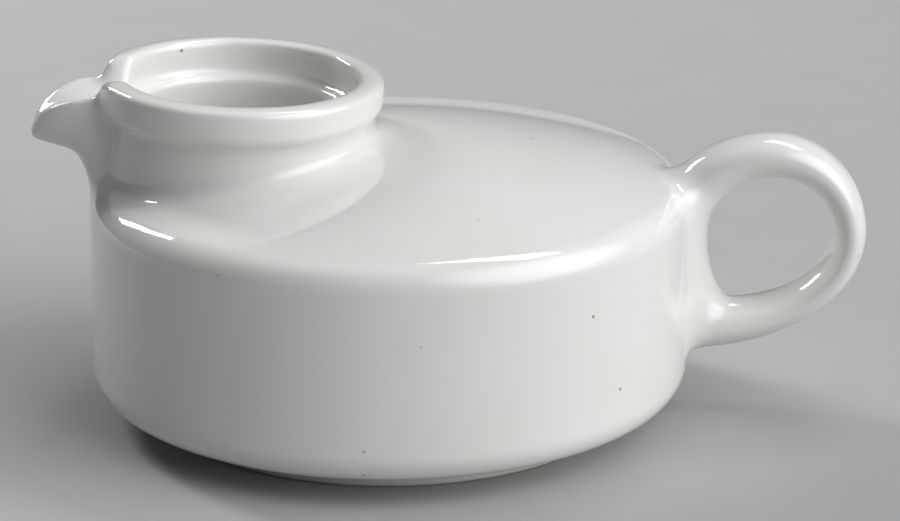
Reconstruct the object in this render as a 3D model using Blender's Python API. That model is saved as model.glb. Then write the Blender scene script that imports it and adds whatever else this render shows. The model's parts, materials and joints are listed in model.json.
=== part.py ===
"""A squat white porcelain creamer, modelled as the clay pieces that are joined before firing.

Sizes are in metres and +Z is up. The creamer stands on z = 0, the beak points along -X and the
handle along +X, and everything is symmetric about the XZ plane. The clay pieces are a foot ring,
a base, a drum wall, a shoulder, a neck collar, a rim bead, a beak spout and a loop handle. Each
joint is a thin seam of slip, so neighbouring pieces stay one seam apart.
"""

import math

import bmesh
import bpy

# Seam and drum.
SEAM = 0.0003
DRUM_RADIUS = 0.055
DRUM_HEIGHT = 0.0405
WALL_THICKNESS = 0.004
SHOULDER_THICKNESS = 0.004
SHOULDER_RADIUS = 0.0056
CROWN_HEIGHT = 0.008
HEEL_RADIUS = 0.0055
HEEL_FLAT = 0.001
FLOOR_THICKNESS = 0.004

# Foot ring, set in from the heel of the drum.
FOOT_HEIGHT = 0.0045
FOOT_INSET = 0.0066
FOOT_WIDTH = 0.0042
FOOT_EDGE_RADIUS = 0.0009
FOOT_DRAFT = 0.0006

# Neck and rim. The rim leans, so that it rises towards the beak.
RIM_RADIUS = 0.0263
RIM_SETBACK = 0.00175
RIM_HEIGHT = 0.01935
RIM_LEAN = math.radians(2.4)
CREST_RADIUS = 0.0022
BEAD_DEPTH = 0.0078
BEAD_UNDER_RADIUS = 0.002
UNDERCUT = 0.0024
NECK_WALL = 0.0047
LEDGE_DEPTH = 0.0061
LEDGE_FILLET = 0.0012
COVE_RADIUS = 0.007
COVE_LEAST = 0.0011

# Beak spout.
SPOUT_REACH = 0.0118
SPOUT_HALF_WIDTH = 0.0074
SPOUT_LIP_DROP = 0.00305
SPOUT_TIP_DROP = 0.01145
SPOUT_LIP = 0.0013
CHANNEL_DEPTH = 0.0024
TIP_THICKNESS = 0.0008
KEEL_SLOPE = 0.27
KEEL_COVE_REACH = 0.0052
KEEL_COVE_HEIGHT = 0.0095
NOTCH_HALF_WIDTH = 0.0062
NOTCH_FILLET = 0.0018

# Loop handle. The finger hole is four quarter ovals that meet at its extremes.
HOLE_GAP = 0.0037
HOLE_WIDTH = 0.02295
HOLE_HEIGHT = 0.0235
HOLE_BELOW_SHOULDER = 0.0005
HOLE_TOP_REACH = 0.0155
HOLE_SIDE_RISE = 0.0128
HOLE_FOOT_REACH = 0.0085
STRAP_TOP = 0.0078
STRAP_SIDE = 0.0062
STRAP_FOOT = 0.0094
STRAP_HALF_WIDTH = 0.0062
STRAP_ROOT_DEPTH = 0.0072
ROOT_FLARE = 0.0075

# Fineness of the round surfaces.
TURNS = 64
ARC_STEPS = 5
CROWN_STEPS = 6
HANDLE_STEPS = 11
STRAP_SIDES = 20
HULL_STEPS = 14
CHANNEL_STEPS = 6
BEAK_STEPS = 9

# Heights and places that follow from the sizes above.
SHOULDER_Z = FOOT_HEIGHT + DRUM_HEIGHT
FLOOR_EDGE = DRUM_RADIUS - HEEL_RADIUS - HEEL_FLAT
NECK_OFFSET = DRUM_RADIUS - RIM_SETBACK - RIM_RADIUS
CREST_Z = RIM_HEIGHT - CREST_RADIUS
BEAD_BASE = RIM_HEIGHT - BEAD_DEPTH
WAIST_RADIUS = RIM_RADIUS - UNDERCUT
THROAT_RADIUS = WAIST_RADIUS - NECK_WALL
LEDGE_Z = RIM_HEIGHT - LEDGE_DEPTH
NECK_BASE_X = -NECK_OFFSET - RIM_HEIGHT * math.sin(RIM_LEAN)
SPOUT_START = -NECK_OFFSET - RIM_RADIUS
SPOUT_TIP_X = SPOUT_START - SPOUT_REACH
RIM_TOP = SHOULDER_Z + RIM_HEIGHT
HANDLE_REACH = DRUM_RADIUS + HOLE_GAP + HOLE_WIDTH + STRAP_SIDE
CENTRE_X = (HANDLE_REACH + SPOUT_TIP_X) / 2.0


def clear_scene():
    """Remove whatever the scene holds."""
    for old in list(bpy.data.objects):
        bpy.data.objects.remove(old, do_unlink=True)


def glaze(name, colour, roughness):
    """A material of one colour with a glossy, non-metallic surface."""
    material = bpy.data.materials.new(name)
    material.use_nodes = True
    shader = material.node_tree.nodes["Principled BSDF"]
    shader.inputs["Base Color"].default_value = (*colour, 1.0)
    shader.inputs["Roughness"].default_value = roughness
    shader.inputs["Metallic"].default_value = 0.0
    return material


def empty(name, parent, location, lean=0.0):
    """A frame that other pieces hang on."""
    frame = bpy.data.objects.new(name, None)
    bpy.context.scene.collection.objects.link(frame)
    frame.parent = parent
    frame.location = location
    frame.rotation_euler = (0.0, lean, 0.0)
    return frame


def place(name, mesh, parent, material=None):
    """Put a mesh in the scene under its parent. Without a material it is a cutter."""
    piece = bpy.data.objects.new(name, mesh)
    bpy.context.scene.collection.objects.link(piece)
    piece.parent = parent
    if material is None:
        piece.hide_render = True
        piece.display_type = "WIRE"
    else:
        mesh.materials.append(material)
    return piece


def arc(centre_x, centre_z, radius_x, radius_z, start, end, steps):
    """Points along an oval arc, with the angles in degrees from +X towards +Z."""
    points = []
    for step in range(steps + 1):
        angle = math.radians(start + (end - start) * step / steps)
        x = centre_x + radius_x * math.cos(angle)
        z = centre_z + radius_z * math.sin(angle)
        points.append((x, z))
    return points


def turned(name, profile, parent, material=None, ring=True):
    """Turn a profile of (radius, height) points about Z. A ring's profile closes on itself."""
    mesh = bpy.data.meshes.new(name)
    edges = [(i, i + 1) for i in range(len(profile) - 1)]
    if ring:
        edges.append((len(profile) - 1, 0))
    mesh.from_pydata([(r, 0.0, z) for r, z in profile], edges, [])
    piece = place(name, mesh, parent, material)
    screw = piece.modifiers.new("turning", "SCREW")
    screw.axis = "Z"
    screw.angle = 2.0 * math.pi
    screw.steps = TURNS
    screw.render_steps = TURNS
    screw.use_merge_vertices = True
    screw.merge_threshold = 0.00001
    screw.use_smooth_shade = True
    return piece


def lofted(name, loops, parent, material=None, ring=True):
    """Skin a row of equal loops. A ring joins the last loop to the first, a bar is capped."""
    mesh = bpy.data.meshes.new(name)
    work = bmesh.new()
    rows = [[work.verts.new(point) for point in loop] for loop in loops]
    count = len(rows[0])
    last = len(rows) if ring else len(rows) - 1
    for i in range(last):
        here = rows[i]
        there = rows[(i + 1) % len(rows)]
        for j in range(count):
            k = (j + 1) % count
            work.faces.new((here[j], here[k], there[k], there[j]))
    if not ring:
        work.faces.new(rows[0])
        work.faces.new(list(reversed(rows[-1])))
    bmesh.ops.recalc_face_normals(work, faces=work.faces)
    work.to_mesh(mesh)
    work.free()
    mesh.shade_smooth()
    mesh.set_sharp_from_angle(angle=math.radians(40.0))
    return place(name, mesh, parent, material)


def cut(piece, cutter, label):
    """Take a cutter's volume out of a piece."""
    change = piece.modifiers.new(label, "BOOLEAN")
    change.operation = "DIFFERENCE"
    change.solver = "EXACT"
    change.object = cutter


def foot_profile():
    outer = FLOOR_EDGE - FOOT_INSET + HEEL_FLAT
    inner = outer - FOOT_WIDTH
    edge = FOOT_EDGE_RADIUS
    top = FOOT_HEIGHT - SEAM
    points = [(outer + FOOT_DRAFT, top)]
    points += arc(outer - edge, edge, edge, edge, 0.0, -90.0, ARC_STEPS)
    points += arc(inner + edge, edge, edge, edge, -90.0, -180.0, ARC_STEPS)
    points.append((inner - FOOT_DRAFT, top))
    return points


def base_profile():
    edge = FLOOR_EDGE - SEAM
    top = FOOT_HEIGHT + FLOOR_THICKNESS
    return [(0.0, top), (edge, top), (edge, FOOT_HEIGHT), (0.0, FOOT_HEIGHT)]


def wall_profile():
    top = SHOULDER_Z - SHOULDER_RADIUS - SEAM
    floor = FOOT_HEIGHT + FLOOR_THICKNESS
    heel_x = DRUM_RADIUS - HEEL_RADIUS
    heel_z = FOOT_HEIGHT + HEEL_RADIUS
    points = [(DRUM_RADIUS, top)]
    points += arc(heel_x, heel_z, HEEL_RADIUS, HEEL_RADIUS, 0.0, -90.0, ARC_STEPS)
    points += [(FLOOR_EDGE, FOOT_HEIGHT), (FLOOR_EDGE, floor)]
    points += [(DRUM_RADIUS - WALL_THICKNESS, floor), (DRUM_RADIUS - WALL_THICKNESS, top)]
    return points


def crown(reach, top):
    """The drum's low crown, from its axis out to a radius, as a parabola above a level."""
    shares = [step / CROWN_STEPS for step in range(CROWN_STEPS)]
    return [(reach * share, top + CROWN_HEIGHT * (1.0 - share * share)) for share in shares]


def crowned_edge(grow):
    """The crown and the rounded edge that it runs into, grown by a seam."""
    slope = math.atan2(2.0 * CROWN_HEIGHT, DRUM_RADIUS - SHOULDER_RADIUS)
    radius = SHOULDER_RADIUS + grow
    edge_x = DRUM_RADIUS - SHOULDER_RADIUS
    edge_z = SHOULDER_Z - SHOULDER_RADIUS
    points = crown(edge_x + radius * math.sin(slope), edge_z + radius * math.cos(slope))
    points += arc(edge_x, edge_z, radius, radius, 90.0 - math.degrees(slope), 0.0, ARC_STEPS)
    return points


def shoulder_profile():
    edge_z = SHOULDER_Z - SHOULDER_RADIUS
    inner = DRUM_RADIUS - WALL_THICKNESS
    points = crowned_edge(0.0)
    points += [(inner, edge_z), (inner, SHOULDER_Z - SHOULDER_THICKNESS)]
    points += reversed(crown(inner, SHOULDER_Z - SHOULDER_THICKNESS))
    return points


def drum_envelope(grow):
    """The outside of the drum, grown by a seam, for cutting what sits against it."""
    heel_x = DRUM_RADIUS - HEEL_RADIUS
    heel_z = FOOT_HEIGHT + HEEL_RADIUS
    lower = HEEL_RADIUS + grow
    points = crowned_edge(grow)
    points += arc(heel_x, heel_z, lower, lower, 0.0, -90.0, ARC_STEPS)
    points.append((0.0, FOOT_HEIGHT - grow))
    return points


def bead_profile():
    """The rolled rim: crest, outer face, underside, throat, gallery ledge and inner wall."""
    centre = RIM_RADIUS - CREST_RADIUS
    under = BEAD_UNDER_RADIUS
    inner = centre - CREST_RADIUS
    fillet = LEDGE_FILLET
    points = arc(centre, CREST_Z, CREST_RADIUS, CREST_RADIUS, 180.0, 0.0, 2 * ARC_STEPS)
    points += arc(RIM_RADIUS - under, BEAD_BASE + under, under, under, 0.0, -90.0, ARC_STEPS)
    points += [(THROAT_RADIUS, BEAD_BASE), (THROAT_RADIUS, LEDGE_Z)]
    points += arc(inner - fillet, LEDGE_Z + fillet, fillet, fillet, -90.0, 0.0, ARC_STEPS - 2)
    return points


def bead_envelope(grow):
    """The outside of the rolled rim, grown by a seam and closed over the mouth."""
    under = BEAD_UNDER_RADIUS + grow
    centre = RIM_RADIUS - BEAD_UNDER_RADIUS
    points = [(0.0, RIM_HEIGHT + grow), (RIM_RADIUS + grow, RIM_HEIGHT + grow)]
    points += arc(centre, BEAD_BASE + BEAD_UNDER_RADIUS, under, under, 0.0, -90.0, ARC_STEPS)
    points.append((0.0, BEAD_BASE - grow))
    return points


def cove_reach(angle):
    """How far the cove runs out from the waist. It dies away where the drum's edge is close."""
    x = math.cos(angle)
    y = math.sin(angle)
    along = NECK_BASE_X * x
    across = NECK_BASE_X * y
    edge = DRUM_RADIUS - 0.75 * SHOULDER_RADIUS
    room = math.sqrt(max(0.0, edge * edge - across * across)) - along - WAIST_RADIUS
    return max(COVE_LEAST, min(COVE_RADIUS, room))


def collar_loops(inside, grow):
    """Loops of the neck collar, one for each direction round its axis."""
    top = BEAD_BASE - SEAM + grow
    bottom = -SHOULDER_RADIUS
    loops = []
    for turn in range(TURNS):
        angle = 2.0 * math.pi * turn / TURNS
        reach = cove_reach(angle)
        waist = WAIST_RADIUS + grow
        profile = [(waist, top)]
        profile += arc(waist + reach, COVE_RADIUS + grow, reach, COVE_RADIUS, 180.0, 270.0, ARC_STEPS + 1)
        profile += [(waist + reach, bottom), (inside, bottom), (inside, top)]
        loops.append([(r * math.cos(angle), r * math.sin(angle), z) for r, z in profile])
    return loops


def make_foot(drum):
    foot = turned("foot_ring", foot_profile(), drum, glaze("foot_clay", (0.72, 0.69, 0.64), 0.6))
    return foot


def make_base(drum):
    return turned("base", base_profile(), drum, glaze("base_glaze", (0.78, 0.77, 0.74), 0.2), ring=False)


def make_wall(drum):
    return turned("drum_wall", wall_profile(), drum, glaze("wall_glaze", (0.80, 0.79, 0.76), 0.14))


def make_shoulder(drum, neck):
    colour = glaze("shoulder_glaze", (0.81, 0.80, 0.78), 0.14)
    shoulder = turned("shoulder", shoulder_profile(), drum, colour, ring=False)
    bore = [(0.0, BEAD_BASE), (THROAT_RADIUS, BEAD_BASE)]
    bore += [(THROAT_RADIUS, -2.0 * SHOULDER_THICKNESS), (0.0, -2.0 * SHOULDER_THICKNESS)]
    throat = turned("throat_cutter", bore, neck, ring=False)
    cut(shoulder, throat, "throat")
    return shoulder


def make_collar(neck, drum_cutter):
    colour = glaze("collar_glaze", (0.79, 0.78, 0.75), 0.14)
    collar = lofted("neck_collar", collar_loops(THROAT_RADIUS, 0.0), neck, colour)
    cut(collar, drum_cutter, "seat")
    return collar


def make_bead(neck):
    """The rolled rim, with the notch that lets the cream out into the beak."""
    bead = turned("rim_bead", bead_profile(), neck, glaze("rim_glaze", (0.81, 0.80, 0.77), 0.14))
    fillet = NOTCH_FILLET
    half = NOTCH_HALF_WIDTH
    top = RIM_HEIGHT + CREST_RADIUS
    section = [(half + fillet, top), (half, CREST_Z)]
    section += arc(half - fillet, LEDGE_Z + fillet, fillet, fillet, 0.0, -90.0, ARC_STEPS - 2)
    section += [(-y, z) for y, z in reversed(section)]
    inside = THROAT_RADIUS
    outside = RIM_RADIUS + CREST_RADIUS
    loops = [[(-x, y, z) for y, z in section] for x in (inside, outside)]
    notch = lofted("notch_cutter", loops, neck, ring=False)
    cut(bead, notch, "notch")
    return bead


def beak_section(share):
    """One loop across the beak, at a share of the way from the rim to the tip."""
    run = SPOUT_REACH * share
    swell = math.sqrt(max(0.0, 1.0 - share * share))
    half = SPOUT_HALF_WIDTH * swell + TIP_THICKNESS
    tip = RIM_TOP - SPOUT_TIP_DROP
    lip = tip + (SPOUT_TIP_DROP - SPOUT_LIP_DROP) * swell
    line = tip - TIP_THICKNESS - KEEL_SLOPE * (SPOUT_REACH - run)
    fade = max(0.0, 1.0 - max(0.0, run - RIM_SETBACK) / KEEL_COVE_REACH)
    keel = line - KEEL_COVE_HEIGHT * (1.0 - math.sqrt(max(0.0, 1.0 - fade * fade)))
    floor = lip - CHANNEL_DEPTH * swell
    x = SPOUT_START - run
    loop = []
    for step in range(HULL_STEPS + 1):
        angle = math.pi * step / HULL_STEPS
        y = half * math.cos(angle)
        z = lip - (lip - keel) * math.sin(angle) ** 0.8
        loop.append((x, y, z))
    trough = max(half - SPOUT_LIP, 0.3 * half)
    for step in range(CHANNEL_STEPS + 1):
        across = -1.0 + 2.0 * step / CHANNEL_STEPS
        z = floor + (lip - floor) * across * across
        loop.append((x, trough * across, z))
    return loop


def make_spout(drum, cutters):
    shares = [-0.7, 0.0]
    for step in range(1, BEAK_STEPS + 1):
        shares.append(math.sin(0.5 * math.pi * step / BEAK_STEPS))
    loops = [beak_section(share) if share > 0.0 else root_section(share) for share in shares]
    spout = lofted("spout", loops, drum, glaze("spout_glaze", (0.80, 0.79, 0.76), 0.14), ring=False)
    for cutter in cutters:
        cut(spout, cutter, cutter.name)
    return spout


def root_section(share):
    """The beak's full section, carried straight back into the neck."""
    loop = beak_section(0.0)
    return [(x - SPOUT_REACH * share, y, z) for x, y, z in loop]


def quarter(start, end, turn):
    """Points of a quarter oval from one extreme to the next, without the last one."""
    (x0, z0), (x1, z1) = start, end
    points = []
    for step in range(HANDLE_STEPS):
        angle = 0.5 * math.pi * step / HANDLE_STEPS
        rise = math.sin(angle)
        run = 1.0 - math.cos(angle)
        if turn:
            rise, run = run, rise
        points.append((x0 + (x1 - x0) * run, z0 + (z1 - z0) * rise))
    return points


def oval(left, top, right, foot):
    """A closed outline of four quarter ovals, from the left extreme over the top."""
    points = quarter(left, top, False)
    points += quarter(top, right, True)
    points += quarter(right, foot, False)
    points += quarter(foot, left, True)
    return points


def make_handle(drum, drum_cutter):
    """The loop handle: a strap between the finger hole and an outer outline."""
    hole_left = DRUM_RADIUS + HOLE_GAP
    hole_right = hole_left + HOLE_WIDTH
    hole_top = SHOULDER_Z - HOLE_BELOW_SHOULDER
    hole_foot = hole_top - HOLE_HEIGHT
    side_z = hole_foot + HOLE_SIDE_RISE
    top_x = DRUM_RADIUS + HOLE_TOP_REACH
    foot_x = DRUM_RADIUS + HOLE_FOOT_REACH
    hole = oval((hole_left, side_z), (top_x, hole_top), (hole_right, side_z), (foot_x, hole_foot))
    root_x = DRUM_RADIUS - STRAP_ROOT_DEPTH
    outer_top = hole_top + STRAP_TOP
    outer_foot = hole_foot - STRAP_FOOT
    outer_left = (root_x, side_z)
    outer = oval(outer_left, (top_x, outer_top), (HANDLE_REACH, side_z), (DRUM_RADIUS, outer_foot))
    loops = []
    for (x0, z0), (x1, z1) in zip(hole, outer):
        loop = []
        for side in range(STRAP_SIDES):
            angle = 2.0 * math.pi * side / STRAP_SIDES
            share = 0.5 - 0.5 * math.cos(angle)
            x = x0 + (x1 - x0) * share
            z = z0 + (z1 - z0) * share
            near = min(0.8, max(0.0, 1.0 - (x - DRUM_RADIUS) / ROOT_FLARE))
            half = STRAP_HALF_WIDTH + ROOT_FLARE * (1.0 - math.sqrt(1.0 - near * near))
            loop.append((x, half * math.sin(angle), z))
        loops.append(loop)
    handle = lofted("handle", loops, drum, glaze("handle_glaze", (0.81, 0.80, 0.77), 0.14))
    cut(handle, drum_cutter, "seat")
    return handle


def main():
    clear_scene()
    drum = empty("drum_axis", None, (-CENTRE_X, 0.0, 0.0))
    neck = empty("neck_axis", drum, (NECK_BASE_X, 0.0, SHOULDER_Z), RIM_LEAN)
    drum_cutter = turned("drum_cutter", drum_envelope(SEAM), drum, ring=False)
    bead_cutter = turned("bead_cutter", bead_envelope(SEAM), neck, ring=False)
    collar_cutter = lofted("collar_cutter", collar_loops(0.5 * THROAT_RADIUS, SEAM), neck)
    make_foot(drum)
    make_base(drum)
    make_wall(drum)
    make_shoulder(drum, neck)
    make_collar(neck, drum_cutter)
    make_bead(neck)
    make_spout(drum, [drum_cutter, bead_cutter, collar_cutter])
    make_handle(drum, drum_cutter)


main()
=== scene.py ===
# %% [markdown]
# # A white porcelain creamer
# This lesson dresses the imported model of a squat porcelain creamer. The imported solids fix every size
# and place, and here each clay piece gets its fired, glazed surface. A slip-cast pot has no visible
# joints, so the work is mostly about soft transitions: where the collar runs out onto the shoulder,
# where the beak grows out of the rim, and where the handle spreads on the wall.

# %% Load the frame
import json
import math

import bpy
from mathutils import Matrix, Vector

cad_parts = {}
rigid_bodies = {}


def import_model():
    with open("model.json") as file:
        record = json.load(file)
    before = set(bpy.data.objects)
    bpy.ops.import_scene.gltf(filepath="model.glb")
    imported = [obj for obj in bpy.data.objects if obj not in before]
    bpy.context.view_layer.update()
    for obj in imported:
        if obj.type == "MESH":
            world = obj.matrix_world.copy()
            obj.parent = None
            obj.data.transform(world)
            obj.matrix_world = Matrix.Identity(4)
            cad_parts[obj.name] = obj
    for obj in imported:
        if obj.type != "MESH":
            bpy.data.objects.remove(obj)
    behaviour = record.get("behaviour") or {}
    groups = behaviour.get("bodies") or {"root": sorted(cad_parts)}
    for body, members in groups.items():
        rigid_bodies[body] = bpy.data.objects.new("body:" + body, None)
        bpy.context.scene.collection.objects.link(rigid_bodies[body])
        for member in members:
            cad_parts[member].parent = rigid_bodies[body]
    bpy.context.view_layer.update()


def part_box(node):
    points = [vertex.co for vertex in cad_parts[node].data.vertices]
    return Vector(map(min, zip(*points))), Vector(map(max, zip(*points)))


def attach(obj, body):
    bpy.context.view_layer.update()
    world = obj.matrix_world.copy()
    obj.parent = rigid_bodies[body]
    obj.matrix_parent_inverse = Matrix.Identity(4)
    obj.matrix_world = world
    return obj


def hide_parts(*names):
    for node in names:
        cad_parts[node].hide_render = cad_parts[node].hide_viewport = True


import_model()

MM = 0.001
wall_low, wall_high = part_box("drum_wall")
AXIS_X = (wall_low[0] + wall_high[0]) / 2.0
RADIUS = (wall_high[0] - wall_low[0]) / 2.0
SHOULDER_RADIUS = 5.6 * MM
SEAM = 0.3 * MM
SHOULDER_Z = wall_high[2] + SEAM + SHOULDER_RADIUS
UNDERSIDE_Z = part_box("base")[0][2]
print("drum radius", round(RADIUS / MM, 2), "mm, shoulder at", round(SHOULDER_Z / MM, 2), "mm")

# %% [markdown]
# ## The camera
# The photograph was taken from a little above the rim with a long lens. The camera stands where a fit
# to the drum's outline puts it, so that the render and the photograph can be laid over each other.

# %% Camera
CAMERA_PITCH = math.radians(18.465)
camera_data = bpy.data.cameras.new("studio_camera")
camera_data.lens = 166.22
camera_data.sensor_width = 36.0
camera_data.clip_start = 0.01
camera = bpy.data.objects.new("studio_camera", camera_data)
bpy.context.scene.collection.objects.link(camera)
camera.location = (-0.00022, -0.72786, 0.27116)
camera.rotation_euler = (math.pi / 2.0 - CAMERA_PITCH, 0.0, 0.0)
bpy.context.scene.camera = camera
print("camera", [round(v, 4) for v in camera.location], "lens", camera_data.lens)

# %% [markdown]
# ## Turning a piece
# Foot, base, wall and shoulder are round about one axis, so each is turned like a pot on a wheel. A
# circle gives a ring of loose points, the points are set on the profile, and Spin sweeps the profile
# once round. The Screw modifier could do the same, but Spin leaves a plain mesh at once. Doubles are
# merged where the sweep meets itself, and the normals are then made to agree.

# %% Helpers for turned pieces
TURNS = 192


def start_clean():
    """Leave edit mode and select nothing."""
    if bpy.context.object and bpy.context.object.mode != "OBJECT":
        bpy.ops.object.mode_set(mode="OBJECT")
    bpy.ops.object.select_all(action="DESELECT")


def arc(x, z, radius, start, end, steps, stretch=1.0):
    """Points on an arc about (x, z), angles in degrees from +X towards +Z. Stretched, it is an oval."""
    angles = [math.radians(start + (end - start) * i / steps) for i in range(steps + 1)]
    return [(x + radius * math.cos(a), z + stretch * radius * math.sin(a)) for a in angles]


def ring_of_points(name, points):
    """A circle primitive whose vertices are set on a closed outline."""
    start_clean()
    bpy.ops.mesh.primitive_circle_add(vertices=len(points), radius=1.0, fill_type="NOTHING")
    piece = bpy.context.object
    piece.name = name
    for vertex, point in zip(piece.data.vertices, points):
        vertex.co = point
    return piece


def tidy_mesh():
    """In edit mode: merge doubles, drop collapsed faces and point the faces outwards."""
    bpy.ops.mesh.select_all(action="SELECT")
    bpy.ops.mesh.remove_doubles(threshold=1e-6)
    bpy.ops.mesh.dissolve_degenerate(threshold=1e-7)
    bpy.ops.mesh.normals_make_consistent(inside=False)


def turn(name, profile, axis_x=AXIS_X):
    """Spin a closed profile of (radius, height) points about an upright axis."""
    piece = ring_of_points(name, [(axis_x + r, 0.0, z) for r, z in profile])
    bpy.ops.object.mode_set(mode="EDIT")
    bpy.ops.mesh.select_all(action="SELECT")
    bpy.ops.mesh.spin(steps=TURNS, angle=2.0 * math.pi, center=(axis_x, 0.0, 0.0), axis=(0.0, 0.0, 1.0))
    tidy_mesh()
    bpy.ops.object.mode_set(mode="OBJECT")
    return piece


def shade(piece, angle=35.0):
    """Smooth shading with crisp edges past an angle."""
    start_clean()
    piece.select_set(True)
    bpy.context.view_layer.objects.active = piece
    bpy.ops.object.shade_smooth_by_angle(angle=math.radians(angle))


def apply_modifier(piece, kind, name, **settings):
    """Add a modifier, set it and apply it."""
    start_clean()
    piece.select_set(True)
    bpy.context.view_layer.objects.active = piece
    change = piece.modifiers.new(name, kind)
    for key, value in settings.items():
        setattr(change, key, value)
    bpy.ops.object.modifier_apply(modifier=change.name)


def settle(piece, slot, *nodes):
    """Hang a finished piece on the body and hide the solids that it stands for."""
    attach(piece, "root")
    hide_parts(*nodes)
    print(piece.name, "stands for", ", ".join(nodes), "with", len(piece.data.polygons), "faces")


print("a turned piece has", TURNS, "sides")

# %% [markdown]
# ## Foot ring
# The drum stands on a low ring that is set in from its heel. Its edges are rounded, its bearing face is
# flat, and a small cove carries it up into the underside. A torus could be pressed flat for it, but a
# drawn profile gives the flat face and the coves at their exact sizes.

# %% Foot ring
foot_low, foot_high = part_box("foot_ring")
FOOT_TOP_RADIUS = (foot_high[0] - foot_low[0]) / 2.0
FOOT_TAPER = 0.6 * MM
FOOT_WIDTH = 4.2 * MM
FOOT_EDGE = 0.9 * MM
FOOT_COVE = 1.6 * MM
CORNER_STEPS = 6
foot_radius = FOOT_TOP_RADIUS - FOOT_TAPER
inner_foot = foot_radius - FOOT_WIDTH
foot_cove_z = UNDERSIDE_Z - FOOT_COVE
foot_profile = arc(foot_radius + FOOT_COVE, foot_cove_z, FOOT_COVE, 90, 180, CORNER_STEPS)
foot_profile += arc(foot_radius - FOOT_EDGE, FOOT_EDGE, FOOT_EDGE, 0, -90, CORNER_STEPS)
foot_profile += arc(inner_foot + FOOT_EDGE, FOOT_EDGE, FOOT_EDGE, -90, -180, CORNER_STEPS)
foot_profile += arc(inner_foot - FOOT_COVE, foot_cove_z, FOOT_COVE, 0, 90, CORNER_STEPS)
foot = turn("glazed_foot_ring", foot_profile)
shade(foot)
settle(foot, "foot", "foot_ring")

# %% [markdown]
# ## Base
# The floor of the drum is seen through the mouth. It is a plain disc with a gentle dish on its upper
# face, as a cast floor has. A cylinder would give the disc but not the dish, so it is turned from a
# closed profile that touches the axis.

# %% Base
base_low, base_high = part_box("base")
FLOOR_EDGE = (base_high[0] - base_low[0]) / 2.0 + SEAM
FLOOR_Z = base_high[2]
DISH = ((0.0, 0.4 * MM), (0.5, 0.3 * MM), (0.8, 0.1 * MM), (1.0, 0.0))
base_profile = [(FLOOR_EDGE * share, FLOOR_Z - depth) for share, depth in DISH]
base_profile += [(FLOOR_EDGE, UNDERSIDE_Z), (FLOOR_EDGE * 0.5, UNDERSIDE_Z), (0.0, UNDERSIDE_Z)]
base = turn("glazed_base", base_profile)
shade(base)
settle(base, "inside", "base")

# %% [markdown]
# ## Drum wall
# The wall is upright with a round heel. A cylinder with a bevelled edge could give its outside, but a
# profile also sets its thickness and the round corner at the floor. It ends in a short upright band below
# the shoulder's curve, so that both pieces have level normals at their joint and the glaze runs over it
# without a line.

# %% Drum wall
HEEL_RADIUS = 5.5 * MM
HEEL_STEPS = 20
WALL = 4.0 * MM
BAND = 0.5 * MM
FLOOR_CORNER = 2.0 * MM
edge_z = SHOULDER_Z - SHOULDER_RADIUS
joint_z = edge_z - BAND
inner_radius = RADIUS - WALL
heel_x = RADIUS - HEEL_RADIUS
heel_z = UNDERSIDE_Z + HEEL_RADIUS
wall_profile = [(RADIUS, joint_z), (RADIUS, joint_z - BAND), (RADIUS, heel_z + BAND)]
wall_profile += arc(heel_x, heel_z, HEEL_RADIUS, 0, -90, HEEL_STEPS)
wall_profile += [(FLOOR_EDGE, UNDERSIDE_Z), (FLOOR_EDGE, FLOOR_Z)]
wall_profile += arc(inner_radius - FLOOR_CORNER, FLOOR_Z + FLOOR_CORNER, FLOOR_CORNER, -90, 0, 8)
wall_profile += [(inner_radius, joint_z)]
wall = turn("glazed_drum_wall", wall_profile)
shade(wall)
settle(wall, "wall", "drum_wall")

# %% [markdown]
# ## The throat
# The neck stands off-centre, next to the beak, and its rim leans so that it rises towards the beak. All
# of the neck's pieces are made upright and then leaned about the point where the axis meets the
# shoulder. The throat is a bore along that axis, and the same cutter opens shoulder and collar.

# %% Neck axis and throat
LEAN = math.radians(2.4)
RIM_RADIUS = 26.3 * MM
RIM_HEIGHT = 19.35 * MM
RIM_INSET = 1.75 * MM
NECK_OFFSET = RADIUS - RIM_INSET - RIM_RADIUS
NECK_X = AXIS_X - NECK_OFFSET - RIM_HEIGHT * math.sin(LEAN)
NECK_ORIGIN = Vector((NECK_X, 0.0, SHOULDER_Z))
NECK_FRAME = Matrix.Translation(NECK_ORIGIN) @ Matrix.Rotation(LEAN, 4, "Y")
THROAT_RADIUS = 19.2 * MM
CUTTER_SIDES = 128
CUTTER_LENGTH = 40.0 * MM


def lean(piece):
    """Carry an upright neck piece, made about the world's Z axis, to the leaning neck axis."""
    piece.data.transform(NECK_FRAME)


def throat_cutter():
    """A cylinder for the throat, turned by half a side so that no corner meets one of the drum's."""
    start_clean()
    bpy.ops.mesh.primitive_cylinder_add(vertices=CUTTER_SIDES, radius=THROAT_RADIUS, depth=CUTTER_LENGTH)
    cutter = bpy.context.object
    cutter.data.transform(Matrix.Rotation(math.pi / CUTTER_SIDES, 4, "Z"))
    lean(cutter)
    return cutter


def carve(piece, cutter, operation="DIFFERENCE"):
    """Boolean against a cutter, which is thrown away afterwards."""
    apply_modifier(piece, "BOOLEAN", "carve", object=cutter, operation=operation, solver="EXACT")
    bpy.data.objects.remove(cutter, do_unlink=True)


print("neck axis at x =", round((NECK_X - AXIS_X) / MM, 2), "mm from the drum's axis")

# %% [markdown]
# ## Shoulder
# The top looks flat in the photograph, because its outline hides behind the edge. The neck's mirror
# image in the glaze gives it away: only a low crown bends it like that. The crown falls as the square
# of the distance from the drum's axis and runs smoothly into the round edge. It is turned as a full
# disc, and the throat is then cut through it.

# %% Shoulder
CROWN = 8.0 * MM
CROWN_POWER = 2.0
CROWN_RINGS = 30
EDGE_STEPS = 20
UNDERSIDE_RISE = 1.0 * MM
edge_x = RADIUS - SHOULDER_RADIUS
edge_slope = math.atan2(CROWN_POWER * CROWN, edge_x)


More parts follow.
